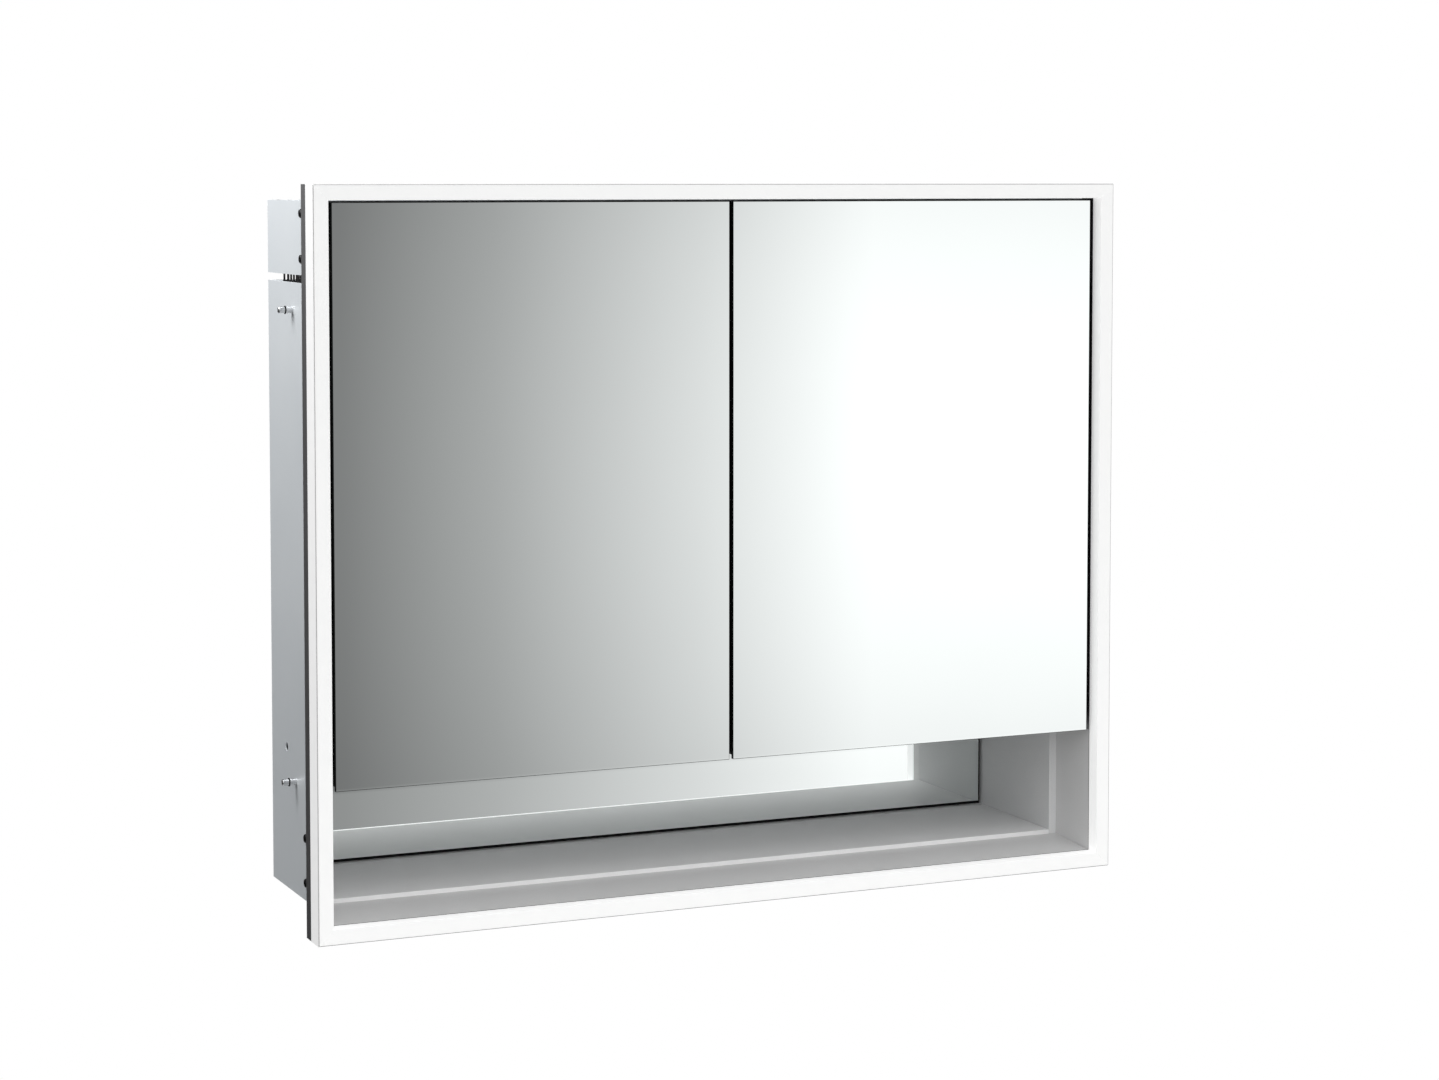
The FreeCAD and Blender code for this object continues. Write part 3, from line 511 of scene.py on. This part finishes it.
# ---------------------------------------------------------------- carcass: vent combs
# Black moulded ABS combs between the housing and the carcass: uneven teeth on a base strip.
# They keep the slot open, so that the driver's warm air can leave.
black_abs = plastic("black_moulded_abs", ("080808", "0F0F10"), 0.6, 0.4, 0.15,
                    extra={"Specular IOR Level": 0.2})
piece("spacer_combs", [soften(merged("vent_combs"), 0.3)], [black_abs], "cabinet",
      ["vent_combs"])

# ---------------------------------------------------------------- carcass: brackets, screws and pins
# Zinc-plated tabs behind the side sheets tie the frame to the carcass with black pan-head
# screws. Turned steel pins with a nut inside and a rubber ring in their groove hang the
# cabinet in the wall frame.
piece("frame_tabs", [soften(merged("frame_brackets"), 0.25)], [zinc_plate], "cabinet",
      ["frame_brackets"])


def outer(corners):
    """The side that a small piece on the carcass's side points to, and its inner end."""
    low, high = corners
    sign = 1 if low.x > 0 else -1
    inner = low.x if sign > 0 else high.x
    return Vector((sign, 0, 0)), Vector((inner, (low.y + high.y) / 2, (low.z + high.z) / 2))


SCREW = [(0, 0), (1.3, 0), (2, 0.8), (2, 7.5), (4, 7.5), (4, 7.9), (3.75, 8.6), (3.1, 9.1), (2.3, 9.3)]


def pan_head(start, way):
    """A pan-head screw with a hexagon socket."""
    shell = turned(SCREW, (0, 0, 0), (0, 0, 1))
    rim = [edge for edge in shell.edges if edge.is_boundary]
    hexagon = bmesh.ops.create_circle(shell, segments=6, radius=1.5 * MM)["verts"]
    bmesh.ops.translate(shell, vec=(0, 0, 9.3 * MM), verts=hexagon)
    inside = list({edge for vert in hexagon for edge in vert.link_edges})
    bmesh.ops.bridge_loops(shell, edges=rim + inside)
    deep = bmesh.ops.extrude_edge_only(shell, edges=inside)["geom"]
    down = [item for item in deep if isinstance(item, bmesh.types.BMVert)]
    bmesh.ops.translate(shell, vec=(0, 0, -1.3 * MM), verts=down)
    floor_rim = [item for item in deep if isinstance(item, bmesh.types.BMEdge) and item.is_boundary]
    bmesh.ops.contextual_create(shell, geom=floor_rim)
    bmesh.ops.recalc_face_normals(shell, faces=shell.faces)
    turn = Vector((0, 0, 1)).rotation_difference(way).to_matrix()
    bmesh.ops.rotate(shell, cent=(0, 0, 0), matrix=turn, verts=shell.verts)
    bmesh.ops.translate(shell, vec=start, verts=shell.verts)
    return shell


# Black oxide on steel: nearly black, with an oily satin sheen.
black_oxide = plated("black_oxide_steel", ("0B0B0C", "141415"), 0.35, 0.6)
screws = []
for corners in solids("frame_screws"):
    way, inner = outer(corners)
    screws.append(pan_head(inner, way))
piece("pan_head_screws", screws, [black_oxide], "cabinet", ["frame_screws"], smooth=True)

# Ground and plated pin steel: brighter than the plate.
pin_steel = plated("ground_pin_steel", ("C9CACC", "D2D2D2"), 0.2)
NUT = [(0, 0), (4.6, 0), (5, 0.4), (5, 3.6), (4.6, 4), (0, 4)]
PIN = [(0, 4), (2, 4), (2, 5.5), (3, 5.5), (3, 11.6), (2.6, 11.7), (2.6, 12.9), (3, 13), (3, 17.8),
       (2.4, 18.5), (0.7, 18.5), (0, 18.1)]
RING = [(2.6, 0.2), (2.8, 0), (3.6, 0), (3.9, 0.25), (3.9, 0.65), (3.6, 0.9), (2.8, 0.9), (2.6, 0.7)]
# Nitrile rubber: matt black with a soft grey bloom.
nitrile = plastic("nitrile_rubber", ("070707", "0E0E0E"), 0.7, 0.25, 0.2, 1.52,
                  {"Specular IOR Level": 0.2})
pins, rings = [], []
for corners in solids("hanging_pins"):
    way, inner = outer(corners)
    pins.append(turned(NUT, inner, way, 6))
    pins.append(turned(PIN, inner, way))
for corners in solids("pin_collars"):
    way, inner = outer(corners)
    rings.append(turned(RING, inner, way, closed=True))
piece("wall_pins", pins, [pin_steel], "cabinet", ["hanging_pins"], smooth=True)
piece("rubber_rings", rings, [nitrile], "cabinet", ["pin_collars"], smooth=True)

# ---------------------------------------------------------------- niche: reveal, linings and floor
# Splayed aluminium plates lead from the light frame to the niche, mitred in its lower corners.
# They, the linings and the folded floor sheet are lacquered, a fine matt silver grey.


def lacquer(name, colours):
    """Two-pack lacquer, matt, its tone broken up by fine flakes."""
    made, tree, where = new_finish(name)
    clouds = put(tree, "TexNoise", {"Vector": where, "Scale": 14.0, "Detail": 3.0}).outputs[0]
    # Flakes are drawn at 0.7 mm so that they show.
    flakes = put(tree, "TexNoise", {"Vector": where, "Scale": 1400.0, "Detail": 1.0}).outputs[0]
    mixed = put(tree, "Math", {0: clouds, 1: flakes}, operation="MULTIPLY").outputs[0]
    spread = put(tree, "MapRange", {"Value": mixed, "From Min": 0.1, "From Max": 0.4}).outputs[0]
    tone = put(tree, "Mix", {
        0: spread, 6: linear(colours[0]), 7: linear(colours[1])}, data_type="RGBA").outputs[2]
    bump = put(tree, "Bump", {"Height": flakes, "Strength": 0.08, "Distance": 0.0001}).outputs[0]
    coat = put(tree, "BsdfPrincipled", {
        "Base Color": tone, "Metallic": 0.0, "Roughness": 0.5, "IOR": 1.5, "Normal": bump})
    put(tree, "OutputMaterial", {"Surface": coat.outputs[0]})
    return made


# One lacquer in three tones, set to each surface's brightness: the floor's lighter tone is painted light, the
# reveal's darker tone painted shade.
silver_lacquer = lacquer("silver_grey_lacquer", ("DCDDDE", "E6E6E6"))
floor_lacquer_painted_light = lacquer("floor_lacquer_painted_light", ("F2F2F2", "F8F8F8"))
reveal_lacquer_painted_shade = lacquer("reveal_lacquer_painted_shade", ("D0D0D0", "D8D8D8"))
piece("reveal_cheeks", [soften(merged("niche_reveal_sides"), 0.15, 1)], [reveal_lacquer_painted_shade], "cabinet",
      ["niche_reveal_sides"])
piece("reveal_sill", [soften(merged("niche_reveal_bottom"), 0.15, 1)], [reveal_lacquer_painted_shade], "cabinet",
      ["niche_reveal_bottom"])
for side in ("left", "right"):
    piece(f"niche_wall_{side}", [soften(merged(f"niche_lining_{side}"), 0.3)], [silver_lacquer], "cabinet",
          [f"niche_lining_{side}"])
piece("niche_base", [soften(merged("niche_floor"), 0.3)], [floor_lacquer_painted_light], "cabinet",
      ["niche_floor"])

# ---------------------------------------------------------------- niche and room mirrors
# 4 mm float glass, silvered and painted on its rear face. The ground edges are drawn near-black,
# a painted shade that gives each pane a thin dark outline.


def silvered(name):
    """Silver behind clear float glass: a flawless mirror with a trace of green."""
    made, tree, where = new_finish(name)
    # The silver layer varies by about one percent over about 100 mm.
    layer = put(tree, "TexNoise", {"Vector": where, "Scale": 10.0, "Detail": 1.0}).outputs[0]
    tone = put(tree, "Mix", {
        0: layer, 6: linear("F5F9F8"), 7: linear("F7FBFA")}, data_type="RGBA").outputs[2]
    silver = put(tree, "BsdfPrincipled", {"Base Color": tone, "Metallic": 1.0, "Roughness": 0.0})
    put(tree, "OutputMaterial", {"Surface": silver.outputs[0]})
    return made


silver_glass = silvered("silvered_float_glass")
# Ground edges, drawn near-black with a trace of green and little sheen: painted shade for the dark line round
# each pane.
painted_shade_edge = plastic("pane_edge_painted_shade", ("060908", "0C110F"), 0.6, 0.3, 0.05,
                     extra={"Specular IOR Level": 0.15})
# Two coats of protective paint behind the silver.
backing_paint = plastic("mirror_backing_paint", ("5D6468", "656C70"), 0.55, 0.5, 0.1)


def pane(node, face_way, edge=0.6):
    """A mirror pane: edges ground all round, the silver towards face_way, paint on its back."""
    mesh = soften(merged(node), edge)
    # The edges get the near-black finish: painted shade.
    paint_faces(mesh, 1, lambda face: abs(face.normal.y) < 0.99)
    paint_faces(mesh, 2, lambda face: face.normal.y * face_way < -0.99)
    return mesh


PANE_FINISHES = [silver_glass, painted_shade_edge, backing_paint]
for node, name in (("niche_mirror", "niche_pane"), ("room_mirror", "room_pane")):
    piece(name, [pane(node, -1)], PANE_FINISHES, "cabinet", [node])

# ---------------------------------------------------------------- cabinet room: boards
# Floor, ceiling and side linings of the room behind the doors: lacquered board, with two rows
# of drilled holes in each side for the shelf pegs.
room_lacquer = lacquer("room_grey_lacquer", ("BDBFC0", "CDCECF"))
for node, name in (("middle_floor", "room_floor"), ("room_ceiling", "room_top"),
                   ("room_lining_left", "room_wall_left"), ("room_lining_right", "room_wall_right")):
    piece(name, [soften(merged(node), 0.3)], [room_lacquer], "cabinet", [node])

# ---------------------------------------------------------------- cabinet room: shelves
# Two 6 mm clear glass shelves, each on four plated pegs. Their polished edges show the green
# of the glass.
clear_glass, tree, where = new_finish("clear_float_glass")
draw = put(tree, "TexNoise", {"Vector": where, "Scale": 6.0, "Detail": 1.0}).outputs[0]
tint = put(tree, "Mix", {
    0: draw, 6: linear("EAF5F2"), 7: linear("EFF8F5")}, data_type="RGBA").outputs[2]
glass = put(tree, "BsdfPrincipled", {
    "Base Color": tint, "Roughness": 0.0, "IOR": 1.52, "Transmission Weight": 1.0})
put(tree, "OutputMaterial", {"Surface": glass.outputs[0]})
# Polished edge: light gathers there and comes out green.
shelf_edge = plastic("polished_shelf_edge", ("6FA795", "8CBFAF"), 0.1, 0.5, 0.02, 1.52)
shelves = soften(merged("glass_shelves"), 0.8)
paint_faces(shelves, 1, lambda face: abs(face.normal.z) < 0.99)
piece("shelf_plates", [shelves], [clear_glass, shelf_edge], "cabinet", ["glass_shelves"])
PEG = [(0, 0), (1.7, 0), (2.3, 0.4), (2.5, 1), (2.5, 8.0), (2.2, 8.2), (2.2, 8.9), (2.5, 9.1), (2.5, 16.6),
       (2.1, 17.1), (0, 17.1)]
pegs = []
for corners in solids("shelf_pegs"):
    way, inner = outer(corners)
    pegs.append(turned(PEG, inner, way, 24))
piece("plated_pegs", pegs, [zinc_plate], "cabinet", ["shelf_pegs"], smooth=True)

# ---------------------------------------------------------------- service strip: fascia and socket
# A satin aluminium strip over the room carries a round socket, in white duroplast with two
# sprung earth clips, and a push button for the light.
satin_strip = anodised("satin_aluminium_strip", ("BEBFC0", "C8C9CA"), 0.4, True)
piece("control_strip", [soften(merged("service_fascia"), 0.3)], [satin_strip], "cabinet",
      ["service_fascia"])
# Duroplast: hard glossy white, very faintly orange-peeled.
duroplast = plastic("white_duroplast", ("E9E9E6", "F0F0ED"), 0.2, 1.2, 0.05)
piece("round_socket", [soften(merged("socket_outlet"), 0.3)], [duroplast], "cabinet",
      ["socket_outlet"])
low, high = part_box("socket_outlet")
centre = (low + high) / 2
CLIP_LENGTH, CLIP_BOW, CLIP_REACH = 11 * MM, 2.2 * MM, 18.6 * MM
clips = []
for way in (-1, 1):
    clip = slab((-2 * MM, 0, -0.4 * MM), (2 * MM, CLIP_LENGTH, 0.4 * MM), 0.1, 1)
    lengthways = [e for e in clip.edges if abs((e.verts[0].co - e.verts[1].co).y) > 8 * MM]
    bmesh.ops.subdivide_edges(clip, edges=lengthways, cuts=8, use_grid_fill=True)
    for vert in clip.verts:
        vert.co.z -= way * CLIP_BOW * math.sin(math.pi * vert.co.y / CLIP_LENGTH)
    place = (centre.x, low.y + 3 * MM, centre.z + way * CLIP_REACH)
    bmesh.ops.translate(clip, vec=place, verts=clip.verts)
    clips.append(clip)
piece("earth_clips", clips, [pin_steel], "cabinet")

# ---------------------------------------------------------------- service strip: button and switch
# The button is a dished white cap that slides in the strip; a flange behind keeps it in and
# works the black switch.
low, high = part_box("light_button")
CAP = [(0, 0.55), (5.2, 0.5), (7.4, 0.2), (8.2, 0), (8.7, 0.15), (9, 0.7), (9, 4.3), (10.8, 4.3),
       (11, 4.5), (11, 6.1), (10.8, 6.3), (0, 6.3)]
cap = turned(CAP, ((low.x + high.x) / 2, low.y, (low.z + high.z) / 2), (0, 1, 0), 48)
piece("button_cap", [cap], [duroplast], "button", ["light_button"], smooth=True)
low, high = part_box("light_switch")
middle = (low + high) / 2
switch = [slab(low, high - Vector((0, 3 * MM, 0)), 0.6)]
for x in (-5, 0, 5):
    switch.append(slab((middle.x + (x - 1.5) * MM, high.y - 3.2 * MM, middle.z - 0.4 * MM),
                       (middle.x + (x + 1.5) * MM, high.y, middle.z + 0.4 * MM), 0.1))
    paint_faces(switch[-1], 1, lambda face: True)
piece("micro_switch", switch, [black_abs, zinc_plate], "cabinet", ["light_switch"])

# ---------------------------------------------------------------- service housing: driver and terminals
# The LED driver is a ribbed white ABS case; the terminal block is six nylon cells in a row
# with two screws in each.
white_abs = plastic("white_moulded_abs", ("E4E4E0", "ECECE8"), 0.42, 0.5, 0.12)
low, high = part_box("led_driver")
case = [slab(low, high - Vector((0, 0, 1.2 * MM)), 1.5, 3)]
for rib in range(9):
    start = low.x + 18 * (rib + 1) * MM
    case.append(slab((start - 3 * MM, low.y + 5 * MM, high.z - 2 * MM),
                     (start + 3 * MM, high.y - 5 * MM, high.z), 0.5))
piece("driver_case", case, [white_abs], "cabinet", ["led_driver"])
# Polyamide: off-white, slightly waxy.
polyamide = plastic("white_polyamide", ("E0DFD8", "E9E8E2"), 0.5, 0.5, 0.08, 1.53)
low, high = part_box("terminal_block")
# Each screw sits in a sleeve that stands out of its cell.
SLEEVE = [(2.6, 0), (4.2, 0), (4.2, 6.6), (3.9, 7), (2.9, 7), (2.6, 6.6)]
SLOTTED = [(0, 0), (2.4, 0), (2.4, 3.6), (2, 4), (0.6, 4), (0.4, 3.2), (0, 3.2)]
cells, terminal_screws = [], []
for index in range(6):
    start = low.x + index * 10 * MM
    cells.append(slab((start + 0.2 * MM, low.y, low.z), (start + 9.8 * MM, high.y, high.z - 6 * MM), 0.5))
    for y in (low.y + 6 * MM, high.y - 6 * MM):
        foot = (start + 5 * MM, y, high.z - 7 * MM)
        cells.append(turned(SLEEVE, foot, (0, 0, 1), 24, True))
        terminal_screws.append(turned(SLOTTED, foot, (0, 0, 1), 16))
piece("terminal_cells", cells, [polyamide], "cabinet", ["terminal_block"])
piece("terminal_screws", terminal_screws, [zinc_plate], "cabinet", smooth=True)

# ---------------------------------------------------------------- service housing: cable gland
# A moulded rubber grommet snapped into the top sheet, with a lip inside and a collar outside.
# The supply cable comes in through it.
low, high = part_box("cable_gland")
GROMMET = [(4.5, 0.5), (4.9, 0), (5.9, 0), (6.5, 3), (6.5, 9.5), (8.2, 9.5), (8.5, 9.8), (8.5, 11.8),
           (7.9, 12.5), (6.3, 12.5), (5.9, 14), (4.9, 14), (4.5, 13.5)]
grommet = turned(GROMMET, ((low.x + high.x) / 2, (low.y + high.y) / 2, low.z), (0, 0, 1), closed=True)
piece("rubber_grommet", [grommet], [nitrile], "cabinet", ["cable_gland"], smooth=True)

# ---------------------------------------------------------------- room light
# A slim bar under the room's ceiling: an anodised channel, an opal cover and two end caps.
# It lights the shelves.
low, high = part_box("room_light")
channel = slab((low.x + 2 * MM, low.y, low.z + 1 * MM), (high.x - 2 * MM, high.y, high.z), 0.4)
piece("lamp_channel", [channel], [anodised_level], "cabinet", ["room_light"])
cover = slab((low.x + 2.2 * MM, low.y + 1.5 * MM, low.z),
             (high.x - 2.2 * MM, high.y - 1.5 * MM, low.z + 2.5 * MM), 0.9, 3)
piece("lamp_cover", [cover], [opal_acrylic], "cabinet")
caps = [slab((x, low.y, low.z + 0.2 * MM), (x + 2 * MM, high.y, high.z), 0.5)
        for x in (low.x, high.x - 2 * MM)]
piece("lamp_caps", caps, [white_abs], "cabinet")

# ---------------------------------------------------------------- door pivots
# Stamped steel tongues hold a pressed-in pin above and below each door. The lower pins carry
# a polyamide washer that the door turns on.
for row in ("upper", "lower"):
    node = f"{row}_pivot_brackets"
    piece(f"pivot_tongues_{row}", [soften(merged(node), 0.25)], [zinc_plate], "cabinet", [node])


def round_pieces(node, profile_of, way, steps=32, closed=False):
    """A turned piece for each solid of a CAD node, with its start at the end away from way."""
    made = []
    for low, high in solids(node):
        axis = max(range(3), key=lambda i: abs(way[i]))
        start = (low + high) / 2
        start[axis] = low[axis] if way[axis] > 0 else high[axis]
        length = (high[axis] - low[axis]) / MM
        made.append(turned(profile_of(length), start, way, steps, closed))
    return made


def dowel(n):
    """A pin of length n, chamfered at both ends."""
    return [(0, 0), (2.5, 0), (3, 0.5), (3, n - 0.7), (2.3, n), (0, n)]


def washer(n):
    """A washer n thick with broken edges."""
    return [(3.1, 0.2), (3.3, 0), (5, 0), (5.2, 0.3), (5.2, n - 0.3), (5, n), (3.3, n), (3.1, n - 0.2)]


piece("pivot_dowels", round_pieces("pivot_pins", dowel, (0, 0, 1)), [pin_steel], "cabinet",
      ["pivot_pins"], smooth=True)
piece("thrust_washers", round_pieces("pivot_washers", washer, (0, 0, 1), closed=True), [polyamide], "cabinet",
      ["pivot_washers"], smooth=True)

# ---------------------------------------------------------------- door stops
# Clear silicone buffers take the doors' rear panes, and nickel-plated cup magnets hold a
# steel disc on each door.
silicone = plastic("clear_silicone", ("D9DAD8", "E6E6E4"), 0.3, 0.4, 0.05, 1.41,
                   {"Transmission Weight": 0.6})


def buffer(n):
    """A domed stud n high."""
    return [(0, 0), (3.5, 0), (3.5, n * 0.5), (3.2, n - 0.6), (2.4, n - 0.15), (1.2, n), (0, n)]


def cup_magnet(n):
    """A steel cup n high with the magnet sunk in it."""
    return [(0, 0), (5, 0), (5, n - 0.4), (4.7, n), (4.1, n), (4, n - 0.4), (3.6, n - 0.4), (3.5, n - 0.1),
            (0, n - 0.1)]


piece("silicone_buffers", round_pieces("door_buffers", buffer, (0, -1, 0)), [silicone], "cabinet",
      ["door_buffers"], smooth=True)
piece("cup_magnets", round_pieces("door_magnets", cup_magnet, (0, -1, 0)), [zinc_plate], "cabinet",
      ["door_magnets"], smooth=True)

# ---------------------------------------------------------------- doors
# Each door is an aluminium rim round a board core, with a silvered pane glued on both faces; the rim is drawn
# near-black, a painted shade for the gap round the door.
# Two sintered bronze bushes run through the rim for the pivots, and a steel disc meets the magnet.


def bush(n):
    """A bush n long, chamfered inside and outside."""
    return [(3.05, 0.4), (3.4, 0), (4.2, 0), (4.5, 0.3), (4.5, n - 0.3), (4.2, n), (3.4, n),
            (3.05, n - 0.4)]


def catch_disc(n):
    """A disc n thick with a countersunk middle."""
    return [(0, 0), (7, 0), (7, n - 0.3), (6.7, n), (3, n), (2.2, n - 0.6), (1.9, n - 0.3), (0, n - 0.3)]


# Near-black with almost no sheen: painted shade for the dark gap line round each door.
painted_shade_rim = plastic("door_rim_painted_shade", ("060606", "0D0D0D"), 0.65, 0.5, 0.05,
                    extra={"Specular IOR Level": 0.15})
# Medium-density fibreboard: brown and rough.
core_board = plastic("core_fibreboard", ("A08660", "B3986F"), 0.75, 0.8, 0.4)
# Oil-soaked sintered bronze: dull and brown.
sintered_bronze = plated("sintered_bronze", ("9C7A45", "B08C52"), 0.45)
for side in ("left", "right"):
    body = f"{side}_door"
    piece(f"{body}_front_pane", [pane(f"{body}_mirror", -1, 0.5)], PANE_FINISHES, body,
          [f"{body}_mirror"])
    piece(f"{body}_rear_pane", [pane(f"{body}_rear_mirror", 1, 0.5)], PANE_FINISHES, body,
          [f"{body}_rear_mirror"])
    piece(f"{body}_edge_frame", [soften(merged(f"{body}_rim"), 0.25)], [painted_shade_rim], body,
          [f"{body}_rim"])
    piece(f"{body}_board", [soften(merged(f"{body}_core"), 0.3)], [core_board], body,
          [f"{body}_core"])
    piece(f"{body}_bearings", round_pieces(f"{body}_bushes", bush, (0, 0, 1), closed=True),
          [sintered_bronze], body, [f"{body}_bushes"], smooth=True)
    piece(f"{body}_catch_disc", round_pieces(f"{body}_strike", catch_disc, (0, 1, 0)), [zinc_plate], body,
          [f"{body}_strike"], smooth=True)
